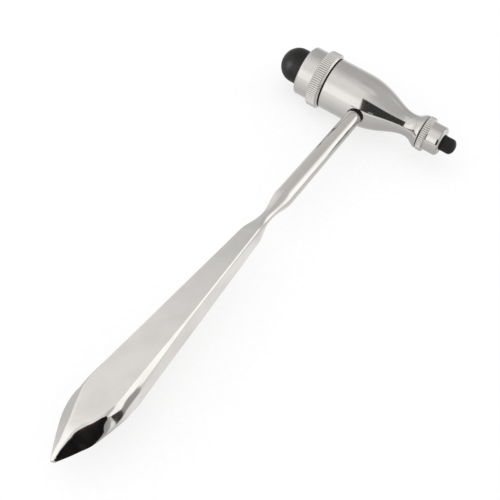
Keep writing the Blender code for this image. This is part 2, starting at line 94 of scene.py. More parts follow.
# Head body
LARGE_FACE = RING_BACK + SEAM_LENGTH
SMALL_FACE = SMALL_MOUTH - SEAT_GAP
BARREL_LENGTH = 0.01295
FLARE_LENGTH = 0.0067
NECK_RADIUS = 0.0053
BEAD_RADIUS = 0.0077
BEAD_EDGE = 0.0006
BARREL_EDGE = 0.00025
TAPER_BENDS = (0.53, 0.74)             # handles of the taper's curve, as shares from barrel to neck
FLARE_BENDS = (0.5, 0.6)               # handles of the flare's curve, as shares from neck to small face
FLARE_RISE = 0.8                       # height of its second handle, as a share from neck to bead
LARGE_RELIEF = 0.0018
SMALL_RELIEF = 0.0014
LARGE_SPIGOT_RADIUS = 0.0100
SMALL_SPIGOT_RADIUS = 0.0054
SEAT_DEPTH = 0.0013

# Threads
THREAD_DEPTH_SHARE = 0.42
ROOT_WIDTH_SHARE = 0.2
FLANK_SLOPE = math.tan(math.radians(30.0))
RELIEF_SHARE = 1.2

# Collars
LARGE_COLLAR_RADIUS = 0.01126
LARGE_KNURL_LENGTH = 0.00545
LARGE_ROUND = 0.0013
LARGE_CHAMFER = 0.0006
LARGE_MOUTH_CHAMFER = 0.0010
LARGE_MOUTH_DROP = 0.0011
LARGE_FLANGE = 0.0026
DOME_RADIUS = 0.00786
SMALL_COLLAR_RADIUS = 0.00666
SMALL_KNURL_LENGTH = 0.0029
SMALL_ROUND = 0.0020
SMALL_CHAMFER = 0.0004
SMALL_FLANGE = 0.0020
TIP_RADIUS = 0.003455
KNURL_PITCH = 0.0010
KNURL_DEPTH = 0.00042
KNURL_POWER = 3                        # makes the crests wide and the grooves narrow
EDGE_ROUND = 0.00015

# Rubber
DOME_ROUND = 0.0074
TIP_ROUND = 0.0023
RING_EDGE_SHARE = 0.7                  # wall of the shaft's ring at its ends, as a share of its middle

# Handle
SHAFT_TOP = SHAFT_RING_FOOT + SEAT_GAP
SHAFT_LENGTH = 0.0608
WAIST_DROP = 0.0135
WAIST_RISE = 0.0143
GRIP_LENGTH = 0.1000
SHAFT_TOP_RADIUS = 0.0035
SHAFT_FOOT_RADIUS = 0.00415
SHAFT_ROUND = 0.0006
WAIST_RADIUS = 0.0024
GRIP_START_WIDTH = 0.0085
GRIP_END_WIDTH = 0.0214
GRIP_START_THICKNESS = 0.0058
GRIP_END_THICKNESS = 0.0092
GRIP_START_EDGE = 0.0011
GRIP_END_EDGE = 0.0013
GRIP_TURN = math.radians(25.0)
TENON_RADIUS = 0.0025
TENON_PILOT = 0.0017
TENON_RELIEF = 0.0011
HOLE_SPARE = 0.0012
SPEAR_LEAD = 0.0080                    # the grip turns into the spear this far before its end
SPEAR_LENGTH = 0.0294                  # from the grip's end, with the point ground off round
VERTEX_SPARE = 0.0002                  # the spear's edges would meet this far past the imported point
TIP_ROUND_LENGTH = 0.0010
TIP_SHARE = 0.02                       # what is left of the section at the very tip
SIDE_ROUND_LENGTH = 0.0600             # over this length before the grip's end the sides get rounder
SIDE_ROUND_END = -0.0006
LEFT_BEVEL_LEAD = 0.008                # lengths over which the bevels and the underside come in
RIGHT_BEVEL_LEAD = 0.010
UNDERSIDE_LEAD = 0.020
UNDERSIDE = 0.6                        # bulge of the spear's underside against its upper side
SHOULDER_GRIP = 0.85                   # how tightly a bevel's bend keeps to its shoulder
WAIST_POWER = 1.3                      # how late the waist takes on the grip's section

# Distances along the handle
PILOT_END = SHAFT_TOP - TENON_PILOT
THREAD_START = SHAFT_TOP - TENON_PILOT - TENON_RELIEF
SHAFT_FOOT = SHAFT_TOP + SHAFT_LENGTH
WAIST = SHAFT_FOOT + WAIST_DROP
GRIP_START = WAIST + WAIST_RISE
GRIP_END = GRIP_START + GRIP_LENGTH
SPEAR_START = GRIP_END - SPEAR_LEAD
SPEAR_VERTEX = SPEAR_POINT + VERTEX_SPARE
SPEAR_END = GRIP_END + SPEAR_LENGTH
SIDE_ROUND_START = GRIP_END - SIDE_ROUND_LENGTH

# Corners of the grip, as shares from top to edge: (bend across, bend down, upright stretch)
ROUND_CORNER = (0.5523, 0.0, 0.5523)
CRISP_CORNER = (0.39, 0.233, 0.42)
CRISP_WIDTH = 0.264                    # width of a crisp corner, as a share of its height

MM_PER_METRE = 1000

# Lines of the spear point: millimetres past the grip's end, and millimetres across or up
# Shoulders are shares from top to edge
SPEAR_LINES = {
    "shift": [(-8, 0), (12, 0), (29, 0.5)],
    "height": [(-8, 4.46), (0, 4.6), (12, 4.75), (16, 4.6), (21, 3.6), (26.7, 2.15), (29, 1.5)],
    "left top": [(-8, -8.9), (-4, -8.0), (4, -4.9), (12.6, -1.45), (16, -0.5), (21, 0.3), (28, 0.3)],
    "left edge": [
        (-8, 3.18), (0, 3.1), (6, 2.4), (9.5, 1.7), (14.7, 0.3), (21.5, -0.6), (26.7, -0.2), (29, 0.2),
    ],
    "left shoulder": [(-8, 0.55), (0, 0.3), (28, 0.3)],
    "right top": [
        (-8, 8.9), (-1, 9.3), (4, 8.8), (7.1, 8.0), (10.7, 4.9), (12.6, 3.1), (15, 2.1), (21, 1.5),
        (26, 1.2), (29, 1.7),
    ],
    "right edge": [
        (-8, -0.4), (0, -0.6), (8, -1.0), (14, -1.45), (17, -1.7), (21, -0.95), (25, -0.35), (29, 0.4),
    ],
    "right shoulder": [(-8, 0.6), (1, 0.85), (6, 0.88), (9, 0.70), (12, 0.55), (17, 0.28), (28, 0.25)],
    "foot": [
        (-8, -3.18), (1, -2.8), (6, -2.15), (12, -1.95), (17, -1.8), (21, -1.0), (25, -0.4), (29, 0.35),
    ],
}

# Camera, from the head's centre, with lens and sensor in millimetres for a square picture
CAMERA_PLACE = Vector((0.13274, -0.45639, 0.41418))
CAMERA_TARGET = Vector((0.00391, -0.10620, 0.0))
CAMERA_ROLL = math.radians(14.6)
CAMERA_LENS = 103.5
CAMERA_SENSOR = 36.0
CAMERA_NEAR = 0.01

# Finishes
HANDLE_TONE = (0.590, 0.572, 0.550)
HEAD_TONE = (0.505, 0.489, 0.470)
HANDLE_METALLIC = 1.0
HEAD_METALLIC = 0.95                   # the head has a thin haze on its polish
DULL_SHARE = 0.93                      # tone of the smudges against the clean chrome
SMUDGE_SCALE = 90.0
SMUDGE_DETAIL = 4.0
DULL_SPAN = (0.30, 0.60)               # noise at which a smudge is full and at which the chrome is clean
POLISH_SPAN = (0.35, 0.70)             # the same for the roughness
SMUDGE_ROUGHNESS = (0.10, 0.05)        # of a smudge and of clean chrome
HEAD_POLISH = (40.0, 4000.0, 4000.0)   # scales of the hairline marks, which are long where it is small
HANDLE_POLISH = (4000.0, 40.0, 4000.0)
HAIR_DETAIL = 3.0
HAIR_ROUGHNESS = 0.03
HAIR_HEIGHT = 0.000004
HAIR_STRENGTH = 0.25
MALLET_TONE = (0.0085, 0.0078, 0.0072)
RING_TONE = (0.004, 0.004, 0.004)
RUBBER_SHARES = (0.8, 1.25)            # darkest and lightest patches against the tone
RUBBER_ROUGHNESS = (0.42, 0.56)
RUBBER_SHINE = 0.2
PATCH_SCALE = 160.0
PATCH_DETAIL = 3.0
PATCH_SPAN = (0.30, 0.70)              # noise of the darkest and of the lightest patches
MALLET_GRAIN = 2500.0
RING_GRAIN = 4000.0
GRAIN_DETAIL = 2.0
GRAIN_HEIGHT = 0.00005
GRAIN_STRENGTH = 0.3
FLOOR_TONES = (0.29, 0.31)
FLOOR_GRAIN = 400.0
FLOOR_DETAIL = 3.0
FLOOR_SPAN = (0.3, 0.7)
FLOOR_GLOW = 0.69
FLOOR_REACH = 3.0

# Studio: brightness of the tent by azimuth in degrees, from behind (0) round by the right (90)
WALL_TONES = [
    (-180, 1.66), (-140, 1.75), (-100, 1.50), (-75, 1.15), (-50, 0.90), (-25, 0.75), (5, 0.70), (20, 0.82),
    (30, 1.68), (50, 1.68), (64, 1.55), (80, 1.20), (110, 1.00), (150, 1.30), (180, 1.66),
]
CEILING_TONES = [
    (-180, 1.30), (-140, 1.34), (-100, 1.24), (-60, 1.04), (-42, 0.96), (-25, 0.78), (30, 0.78), (120, 0.79),
    (150, 0.96), (180, 1.30),
]
ZENITH_TONE = 1.10
BRIGHTEST = 1.80
CEILING_START = math.radians(24.0)
CEILING_FULL = math.radians(48.0)
ZENITH_START = math.radians(72.0)
ZENITH_FULL = math.radians(88.0)

# Cards of the studio, which only show in reflections, in metres from the floor's middle
BLACK = (0.010, 0.009, 0.009)
CARD_FOOT = 0.001
LEFT_WALL = ((-0.35, -0.60), (-0.35, 0.70))
LEFT_WALL_HEIGHT = 0.38
LEFT_WALL_TONES = [
    (-0.60, 1.74), (-0.12, 1.74), (-0.09, 1.70), (0.015, 1.42), (0.11, 1.22), (0.20, 1.14), (0.28, 0.98),
    (0.36, 0.82), (0.70, 0.78),
]
DARK_PANEL = [
    (0.014, -0.1490, CARD_FOOT), (0.2438, -0.1226, CARD_FOOT),
    (0.236, -0.060, 0.170), (0.009, -0.1110, 0.262),
]
DARK_PANEL_TONES = [
    (0.0, (0.34, 0.15, 0.10)), (0.035, (0.10, 0.065, 0.055)), (0.12, (0.024, 0.021, 0.020)), (0.25, BLACK),
]
HOOD = [(0.055, -0.130, 0.105), (0.150, -0.130, 0.105), (0.135, -0.080, 0.155), (0.055, -0.080, 0.155)]
HOOD_TONES = [(0.0, BLACK), (1.0, BLACK)]
SIDE_PANEL = ((0.2438, -0.1226), (0.2438, -0.0200))
SIDE_PANEL_HEIGHT = 0.12
SIDE_PANEL_TONES = [(0.0, (0.45, 0.45, 0.45)), (1.0, (0.70, 0.70, 0.70))]
LOW_STRIP = ((0.0600, -0.0790), (0.0600, -0.0410))
LOW_STRIP_HEIGHT = (0.0015, 0.0300)
LOW_STRIP_TONES = [(0.31, (0.06, 0.055, 0.055)), (0.35, (0.42, 0.43, 0.44)), (1.0, (0.52, 0.52, 0.52))]
FACET_STRIP = [(0.060, -0.112, 0.015), (0.060, -0.079, 0.015), (0.060, -0.079, 0.036), (0.060, -0.112, 0.028)]
FACET_STRIP_TONES = [(0.0, (0.40, 0.40, 0.40)), (0.6, (0.55, 0.55, 0.55)), (1.0, (0.95, 0.95, 0.95))]
BEVEL_STRIP = ((-0.0085, -0.1130), (-0.0290, -0.0640))
BEVEL_STRIP_HEIGHT = (0.0008, 0.0135)
BEVEL_STRIP_TONES = [(0.0, (0.82, 0.82, 0.82)), (1.0, (0.80, 0.80, 0.80))]
# Floor cards hold painted light and shade, seen only in reflections: tones above 1 are painted brighter
# floor, and the dips, deepest towards the head, are painted shade that stands for the hammer's shadow
FLOOR_FAR = (-1.200, -0.030)
FLOOR_FAR_TONES = [(-2.90, 1.60), (-0.60, 1.55), (-0.05, 1.40)]
FLOOR_LEFT = (-0.250, -0.004)
FLOOR_LEFT_TONES = [(-0.05, 1.38), (0.04, 1.33), (0.07, 1.19), (0.088, 1.02), (0.096, 0.85), (0.12, 0.68)]
FLOOR_RIGHT = (-0.004, 0.300)
FLOOR_RIGHT_TONES = [
    (-0.20, 0.80), (-0.085, 0.80), (-0.068, 1.22), (-0.05, 1.22), (-0.026, 1.12), (-0.010, 1.20),
    (0.006, 1.14), (0.022, 1.28), (0.036, 1.24), (0.045, 0.94), (0.06, 0.88), (0.08, 0.90), (0.095, 0.79),
    (0.12, 0.66),
]
FLOOR_LIFT = 0.0005
DOME_LAMP = (-0.060, 0.081, 0.023)
DOME_LAMP_SIZE = 0.020
DOME_LAMP_POWER = 0.015                # watts

# Fineness of the meshes
HEAD_COLUMNS = 192
RUBBER_COLUMNS = 128
COLUMNS_PER_RIDGE = 8
ROWS_PER_PITCH = 10
ROW_STEP = 0.0004
KNURL_ROW_STEP = 0.0010
ARC_STEPS = 8
FINE_ROUND = 0.0003
FINE_ARC_STEPS = 3
STEP_SLACK = 1e-6                      # keeps a length of whole steps from being cut once more
TAPER_STEPS = 72
FLARE_STEPS = 24
SEAT_COLUMNS = 96
DOME_STEPS = 28
RING_STEPS = 24
SHAFT_STEP = 0.0020
WAIST_STEP = 0.0005
GRIP_STEP = 0.0015
SPEAR_STEP = 0.0004
TIP_RINGS = 13
FLAT_CUTS = 12
SIDE_CUTS = 8
CORNER_CUTS = 14
SHARP_ANGLE = math.radians(50.0)
HEAD_SHARP_ANGLE = math.radians(40.0)
HANDLE_SHARP_ANGLE = math.radians(30.0)


# Outlines and surfaces

def mix(a, b, t):
    return a + (b - a) * t


def smooth(t):
    t = np.clip(t, 0.0, 1.0)
    return t * t * (3 - 2 * t)


def rounded(corners, closed=False):
    """Outline through corners of (place, radius, rounding), with an arc at each rounded corner."""
    points = []
    count = len(corners)
    for i, (place, radius, rounding) in enumerate(corners):
        corner = Vector((place, radius))
        at_end = not closed and i in (0, count - 1)
        if rounding == 0.0 or at_end:
            points.append(corner)
            continue
        before = Vector(corners[i - 1][:2]) - corner
        after = Vector(corners[(i + 1) % count][:2]) - corner
        half = before.angle(after) / 2
        reach = min(rounding / math.tan(half), before.length / 2, after.length / 2)
        arc_radius = reach * math.tan(half)
        inward = (before.normalized() + after.normalized()).normalized()
        centre = corner + inward * arc_radius / math.sin(half)
        start = corner + before.normalized() * reach - centre
        end = corner + after.normalized() * reach - centre
        turn = start.angle_signed(end)
        steps = ARC_STEPS if rounding > FINE_ROUND else FINE_ARC_STEPS
        for k in range(steps + 1):
            spoke = start.copy()
            spoke.rotate(Matrix.Rotation(-turn * k / steps, 2))
            points.append(centre + spoke)
    return points


def bezier(a, b, c, d, steps):
    """Points after the first along a cubic curve, as corners without rounding."""
    corners = []
    for i in range(1, steps + 1):
        t = i / steps
        weights = ((1 - t) ** 3, 3 * t * (1 - t) ** 2, 3 * t * t * (1 - t), t ** 3)
        place = sum(w * p[0] for w, p in zip(weights, (a, b, c, d)))
        radius = sum(w * p[1] for w, p in zip(weights, (a, b, c, d)))
        corners.append((place, radius, 0.0))
    return corners


def quarter(centre, along, out, steps):
    """Corners of a quarter ellipse from its place on the axis side to its outer side."""
    corners = []
    for i in range(steps + 1):
        angle = math.pi / 2 * i / steps
        corners.append((centre[0] + along * math.cos(angle), centre[1] + out * math.sin(angle), 0.0))
    return corners


def filled(points, step, closed=False, fine=None):
    """The outline with straight stretches cut into rows of a step, which fine(a, b) can make smaller."""
    rows = []
    following = points[1:] + points[:1] if closed else points[1:]
    for a, b in zip(points, following):
        row_step = step if fine is None else min(step, fine(a, b))
        cuts = max(1, math.ceil((b - a).length / row_step - STEP_SLACK))
        rows += [a.lerp(b, k / cuts) for k in range(cuts)]
    if not closed:
        rows.append(points[-1])
    return np.array([(p.x, p.y) for p in rows])


def add_piece(name, points, faces):
    mesh = bpy.data.meshes.new(name)
    mesh.from_pydata(points, [], faces)
    bm = bmesh.new()
    bm.from_mesh(mesh)
    bmesh.ops.recalc_face_normals(bm, faces=bm.faces)
    bm.to_mesh(mesh)
    bm.free()
    mesh.shade_smooth()
    mesh.set_sharp_from_angle(angle=SHARP_ANGLE)
    mesh.update()
    piece = bpy.data.objects.new(name, mesh)
    bpy.context.scene.collection.objects.link(piece)
    return piece


def skin(name, rings, closed=False):
    """Skin of quads over rings of points, closed into a loop or capped with a point at each end."""
    rows, columns = rings.shape[:2]
    points = rings.reshape(-1, 3)
    row_pairs = [(r, (r + 1) % rows) for r in range(rows if closed else rows - 1)]
    faces = []
    for a, b in row_pairs:
        for i in range(columns):
            j = (i + 1) % columns
            faces.append((a * columns + i, b * columns + i, b * columns + j, a * columns + j))
    if not closed:
        first = len(points)
        ends = np.array([rings[0].mean(axis=0), rings[-1].mean(axis=0)])
        points = np.vstack([points, ends])
        last = (rows - 1) * columns
        for i in range(columns):
            j = (i + 1) % columns
            faces.append((first, i, j))
            faces.append((first + 1, last + j, last + i))
    return add_piece(name, points.tolist(), faces)


def turned(name, outline, columns, carve=None, closed=False, axis="head"):
    """Turn an outline about the head's or the shaft's axis. carve changes the radius by place and angle."""
    places = outline[:, :1]
    angles = math.tau * np.arange(columns)[None, :] / columns
    radii = np.repeat(outline[:, 1:], columns, axis=1)
    if carve is not None:
        radii = carve(places, angles, radii)
    along = np.repeat(places, columns, axis=1)
    across = -radii * np.sin(angles)
    up = radii * np.cos(angles)
    if axis == "head":
        rings = np.stack([along, across, up], axis=2)
    else:
        rings = np.stack([across, -along, up], axis=2)
    return skin(name, rings + np.array(HEAD), closed)


def cut(piece, cutter):
    """Take the cutter out of the piece."""
    step = piece.modifiers.new("cut", "BOOLEAN")
    step.operation = "DIFFERENCE"
    step.solver = "EXACT"
    step.object = cutter
    bpy.context.view_layer.update()
    graph = bpy.context.evaluated_depsgraph_get()
    mesh = bpy.data.meshes.new_from_object(piece.evaluated_get(graph))
    piece.modifiers.remove(step)
    piece.data = mesh
    bpy.data.objects.remove(cutter)


def thread_radius(place, angle, pitch, crest):
    """Radius of an outside right-hand thread, whose groove passes place 0 at angle 0."""
    depth = pitch * THREAD_DEPTH_SHARE
    floor = pitch * ROOT_WIDTH_SHARE / 2
    turn = place / pitch - angle / math.tau
    from_groove = np.abs(turn - np.round(turn)) * pitch
    return crest - np.clip(depth - (from_groove - floor) / FLANK_SLOPE, 0.0, depth)


def knurl_radius(angle, ridges, crest):
    """Radius of straight ridges with rounded crests and narrow grooves, a crest at the lowest point."""
    wave = (1 + np.cos(ridges * (angle - math.pi))) / 2
    return crest - KNURL_DEPTH * (1 - wave) ** KNURL_POWER


# Head

def head_outline():
    barrel_end = (LARGE_FACE + BARREL_LENGTH, BODY_RADIUS)
    neck = (SMALL_FACE - FLARE_LENGTH, NECK_RADIUS)
    bead = (SMALL_FACE - BEAD_EDGE, BEAD_RADIUS)
    large_depth = LARGE_PITCH * THREAD_DEPTH_SHARE
    small_depth = SMALL_PITCH * THREAD_DEPTH_SHARE
    large_relief = LARGE_SPIGOT_RADIUS - large_depth * RELIEF_SHARE
    small_relief = SMALL_SPIGOT_RADIUS - small_depth * RELIEF_SHARE
    corners = [
        (LARGE_SPIGOT_END, EDGE_ROUND, 0.0),
        (LARGE_SPIGOT_END, LARGE_SPIGOT_RADIUS - large_depth, EDGE_ROUND),
        (LARGE_SPIGOT_END + large_depth, LARGE_SPIGOT_RADIUS, EDGE_ROUND),
        (LARGE_FACE - LARGE_RELIEF, LARGE_SPIGOT_RADIUS, EDGE_ROUND),
        (LARGE_FACE - LARGE_RELIEF, large_relief, EDGE_ROUND),
        (LARGE_FACE, large_relief, EDGE_ROUND),
        (LARGE_FACE, BODY_RADIUS, BARREL_EDGE),
        (*barrel_end, 0.0),
    ]
    corners += bezier(
        barrel_end,
        (mix(barrel_end[0], neck[0], TAPER_BENDS[0]), BODY_RADIUS),
        (mix(barrel_end[0], neck[0], TAPER_BENDS[1]), NECK_RADIUS),
        neck, TAPER_STEPS,
    )
    corners += bezier(
        neck,
        (mix(neck[0], SMALL_FACE, FLARE_BENDS[0]), NECK_RADIUS),
        (mix(neck[0], SMALL_FACE, FLARE_BENDS[1]), mix(NECK_RADIUS, BEAD_RADIUS, FLARE_RISE)),
        bead, FLARE_STEPS,
    )
    corners += [
        (SMALL_FACE, BEAD_RADIUS, BEAD_EDGE),
        (SMALL_FACE, small_relief, EDGE_ROUND),
        (SMALL_FACE + SMALL_RELIEF, small_relief, EDGE_ROUND),
        (SMALL_FACE + SMALL_RELIEF, SMALL_SPIGOT_RADIUS, EDGE_ROUND),
        (SMALL_SPIGOT_END - small_depth, SMALL_SPIGOT_RADIUS, EDGE_ROUND),
        (SMALL_SPIGOT_END, SMALL_SPIGOT_RADIUS - small_depth, EDGE_ROUND),
        (SMALL_SPIGOT_END, EDGE_ROUND, 0.0),
    ]
    return filled(rounded(corners), SMALL_PITCH / ROWS_PER_PITCH * 2)


def carve_spigots(place, angle, radius):
    """Threads on both spigots of the head."""
    large = np.minimum(radius, thread_radius(place, angle, LARGE_PITCH, LARGE_SPIGOT_RADIUS))
    small = np.minimum(radius, thread_radius(place, angle, SMALL_PITCH, SMALL_SPIGOT_RADIUS))
    radius = np.where(place < LARGE_FACE - LARGE_RELIEF, large, radius)
    return np.where(place > SMALL_FACE + SMALL_RELIEF, small, radius)


def seat_cutter():
    """Seat for the shaft's ring and the tapped hole for its tenon, as one tool along the shaft."""
    seat_floor = BODY_RADIUS - SEAT_DEPTH
    depth = TENON_PITCH * THREAD_DEPTH_SHARE
    hole = TENON_RADIUS + THREAD_PLAY
    lead = hole + SIDE_GAP
    seat = SHAFT_TOP_RADIUS + SIDE_GAP
    outside = 2 * BODY_RADIUS
    corners = [
        (TENON_END - HOLE_SPARE, EDGE_ROUND, 0.0),
        (TENON_END - HOLE_SPARE, hole, 0.0),
        (THREAD_START, hole, 0.0),
        (THREAD_START + depth, lead, 0.0),
        (seat_floor, lead, EDGE_ROUND),
        (seat_floor, seat, EDGE_ROUND),
        (outside, seat, 0.0),
        (outside, EDGE_ROUND, 0.0),
    ]

    def tapped(place, angle, radius):
        inside = thread_radius(place, angle, TENON_PITCH, TENON_RADIUS) + THREAD_PLAY
        return np.where(place < THREAD_START, np.minimum(radius, inside), radius)

    outline = filled(rounded(corners), TENON_PITCH / ROWS_PER_PITCH)
    return turned("seat_cutter", outline, SEAT_COLUMNS, tapped, axis="shaft")


def make_head():
    head = turned("head_skin", head_outline(), HEAD_COLUMNS, carve_spigots)
    cut(head, seat_cutter())
    head.data.shade_smooth()
    head.data.set_sharp_from_angle(angle=HEAD_SHARP_ANGLE)
    return head


# Collars

def collar(name, sizes):
    """Knurled collar with an inside thread, a pocket for the rubber's flange and a hole for the rubber."""
    side = sizes["side"]
    mouth = sizes["mouth"]
    front = sizes["front"]
    spigot = sizes["spigot"]
    pitch = sizes["pitch"]
    crest = sizes["crest"]
    wall = sizes["wall"]
    depth = pitch * THREAD_DEPTH_SHARE
    knurl_end = mouth + side * sizes["knurl_length"]
    lead_end = sizes["lead_end"]
    shoulder = sizes["shoulder"]
    lead = spigot + THREAD_PLAY + SIDE_GAP
    bore = spigot - depth + THREAD_PLAY
    pocket = sizes["pocket"]
    hole = sizes["hole"]
    spigot_end = sizes["spigot_end"]
    chamfer = sizes["chamfer"]
    corners = [
        (front, hole, EDGE_ROUND),
        (front, wall, sizes["round"]),
        (knurl_end, wall, EDGE_ROUND),
        (knurl_end, crest - chamfer, EDGE_ROUND),
        (knurl_end - side * chamfer, crest, EDGE_ROUND),
        (mouth + side * sizes["mouth_chamfer"], crest, 2 * EDGE_ROUND),
        (mouth, crest - sizes["mouth_drop"], EDGE_ROUND),
        (mouth, lead, EDGE_ROUND),
        (lead_end, lead, 0.0),
        (lead_end + side * depth, bore, 0.0),
        (spigot_end, bore, 0.0),
        (spigot_end, pocket, EDGE_ROUND),
        (shoulder, pocket, EDGE_ROUND),
        (shoulder, hole, EDGE_ROUND),
    ]
    ridges = round(math.tau * crest / KNURL_PITCH)
    middle = (wall + spigot) / 2

    def carve(place, angle, radius):
        banded = (radius > middle) & ((place - knurl_end) * side < -EDGE_ROUND / 2)
        radius = np.where(banded, np.minimum(radius, knurl_radius(angle, ridges, crest)), radius)
        threaded = (radius < middle) & ((place - lead_end) * side > 0) & ((spigot_end - place) * side > 0)
        inside = thread_radius(place, angle, pitch, spigot) + THREAD_PLAY
        return np.where(threaded, np.maximum(radius, inside), radius)

    def fine(a, b):
        return pitch / ROWS_PER_PITCH if max(a.y, b.y) < lead else ROW_STEP

    outline = filled(rounded(corners, closed=True), KNURL_ROW_STEP, closed=True, fine=fine)
    return turned(name, outline, ridges * COLUMNS_PER_RIDGE, carve, closed=True)


def make_large_collar():
    return collar("large_collar_skin", {
        "side": -1,
        "mouth": RING_BACK - SEAM_GAP,
        "front": LARGE_FRONT,
        "spigot": LARGE_SPIGOT_RADIUS,
        "spigot_end": LARGE_SPIGOT_END,
        "pitch": LARGE_PITCH,
        "crest": LARGE_KNURL_RADIUS,
        "wall": LARGE_COLLAR_RADIUS,
        "knurl_length": LARGE_KNURL_LENGTH,
        "lead_end": LARGE_FACE - LARGE_RELIEF,
        "shoulder": LARGE_FLANGE_BACK - LARGE_FLANGE - SEAT_GAP,
        "pocket": LARGE_FLANGE_RADIUS + SIDE_GAP + THREAD_PLAY,
        "hole": DOME_RADIUS + SIDE_GAP,
        "round": LARGE_ROUND,
        "chamfer": LARGE_CHAMFER,
        "mouth_chamfer": LARGE_MOUTH_CHAMFER,
        "mouth_drop": LARGE_MOUTH_DROP,
    })


def make_small_collar():
    return collar("small_collar_skin", {
        "side": 1,
        "mouth": SMALL_MOUTH,
        "front": SMALL_FRONT,
        "spigot": SMALL_SPIGOT_RADIUS,
        "spigot_end": SMALL_SPIGOT_END,
        "pitch": SMALL_PITCH,
        "crest": SMALL_KNURL_RADIUS,
        "wall": SMALL_COLLAR_RADIUS,
        "knurl_length": SMALL_KNURL_LENGTH,
        "lead_end": SMALL_FACE + SMALL_RELIEF,
        "shoulder": SMALL_FLANGE_BACK + SMALL_FLANGE + SEAT_GAP,
        "pocket": SMALL_FLANGE_RADIUS + SIDE_GAP + THREAD_PLAY,
        "hole": TIP_RADIUS + SIDE_GAP,
        "round": SMALL_ROUND,
        "chamfer": SMALL_CHAMFER,
        "mouth_chamfer": SMALL_CHAMFER,
        "mouth_drop": SMALL_CHAMFER,
    })


# Rubber pieces

def mallet(name, side, apex, rounding, radius, flange_radius, flange_back, flange):
    """Rubber with a rounded end and a flange."""
    flange_front = flange_back + side * flange
    corners = quarter((apex - side * rounding, 0.0), side * rounding, radius, DOME_STEPS)
    corners[0] = (apex, EDGE_ROUND / 4, 0.0)
    corners += [
        (flange_front, radius, EDGE_ROUND),
        (flange_front, flange_radius, EDGE_ROUND),
        (flange_back, flange_radius, EDGE_ROUND),
        (flange_back, EDGE_ROUND, 0.0),
    ]
    outline = filled(rounded(corners), ROW_STEP)
    return turned(name, outline, RUBBER_COLUMNS)


def make_large_mallet():
    return mallet(
        "large_mallet_skin", -1, DOME_APEX, DOME_ROUND, DOME_RADIUS,
        LARGE_FLANGE_RADIUS, LARGE_FLANGE_BACK, LARGE_FLANGE,
    )


def make_small_mallet():
    return mallet(
        "small_mallet_skin", 1, TIP_APEX, TIP_ROUND, TIP_RADIUS,
        SMALL_FLANGE_RADIUS, SMALL_FLANGE_BACK, SMALL_FLANGE,
    )


def make_collar_ring():
    inner = LARGE_SPIGOT_RADIUS + SIDE_GAP
    front = LARGE_FACE - SEAM_GAP
    corners = [
        (RING_BACK, inner, EDGE_ROUND),
        (RING_BACK, RING_RADIUS, EDGE_ROUND),
        (front, RING_RADIUS, EDGE_ROUND),
        (front, inner, EDGE_ROUND),
    ]
    outline = filled(rounded(corners, closed=True), ROW_STEP, closed=True)
    return turned("collar_ring_skin", outline, RUBBER_COLUMNS, closed=True)


def make_shaft_ring():
    """Round rubber ring that fills the seat between shaft and head."""
    inner = TENON_RADIUS + SIDE_GAP
    wall = SHAFT_TOP_RADIUS - inner
    middle = (SHAFT_RING_TOP + SHAFT_RING_FOOT) / 2
    half = (SHAFT_RING_FOOT - SHAFT_RING_TOP) / 2
    corners = [(SHAFT_RING_FOOT, inner, 0.0), (SHAFT_RING_TOP, inner, 0.0)]
    for i in range(RING_STEPS + 1):
        angle = math.pi * i / RING_STEPS
        bulge = mix(RING_EDGE_SHARE, 1.0, math.sin(angle))
        corners.append((middle - half * math.cos(angle), inner + wall * bulge, 0.0))
    outline = filled(rounded(corners, closed=True), ROW_STEP, closed=True)
    return turned("shaft_ring_skin", outline, RUBBER_COLUMNS, closed=True, axis="shaft")


# Handle

def shaft_distances():
    """Distances along the handle at which it gets a ring of points."""
    step = TENON_PITCH / ROWS_PER_PITCH
    tip_start = SPEAR_END - TIP_ROUND_LENGTH
    tip_angles = np.linspace(0, math.pi / 2, TIP_RINGS)
    tenon = np.arange(TENON_END, THREAD_START, step)
    shaft = np.arange(SHAFT_TOP + SHAFT_ROUND, SHAFT_FOOT, SHAFT_STEP)
    waist = np.arange(SHAFT_FOOT, GRIP_START, WAIST_STEP)
    grip = np.arange(GRIP_START, SPEAR_START, GRIP_STEP)
    spear = np.arange(SPEAR_START, tip_start, SPEAR_STEP)
    tip = tip_start + TIP_ROUND_LENGTH * np.sin(tip_angles)
    return tenon, shaft, waist, grip, spear, tip


def unit_circle():
    """Points of the round shaft, one for each point of the grip's section."""
    count = 2 * FLAT_CUTS + 2 * SIDE_CUTS + 4 * CORNER_CUTS
    angles = math.tau * (np.arange(count) - SIDE_CUTS / 2) / count
    return np.stack([np.cos(angles), np.sin(angles)], axis=1)


def corner_curve(edge, top, shape, shoulder=0.0, straight=0.0):
    """Curve from a section's edge to its top, which can become a straight bevel with a bent shoulder."""
    edge = np.array(edge)
    top = np.array(top)
    bend = top + (edge - top) * mix(np.array(shape[:2]), np.array([shoulder, 0.0]), straight)
    straight_up = edge + np.array([0.0, (top[1] - edge[1]) * shape[2]])
    end_handle = mix(straight_up, mix(edge, bend, SHOULDER_GRIP), straight)
    t = np.linspace(0.0, 1.0, CORNER_CUTS + 1)[:, None]
    near_edge = (1 - t) ** 3 * edge + 3 * t * (1 - t) ** 2 * end_handle
    return near_edge + 3 * t * t * (1 - t) * bend + t ** 3 * top


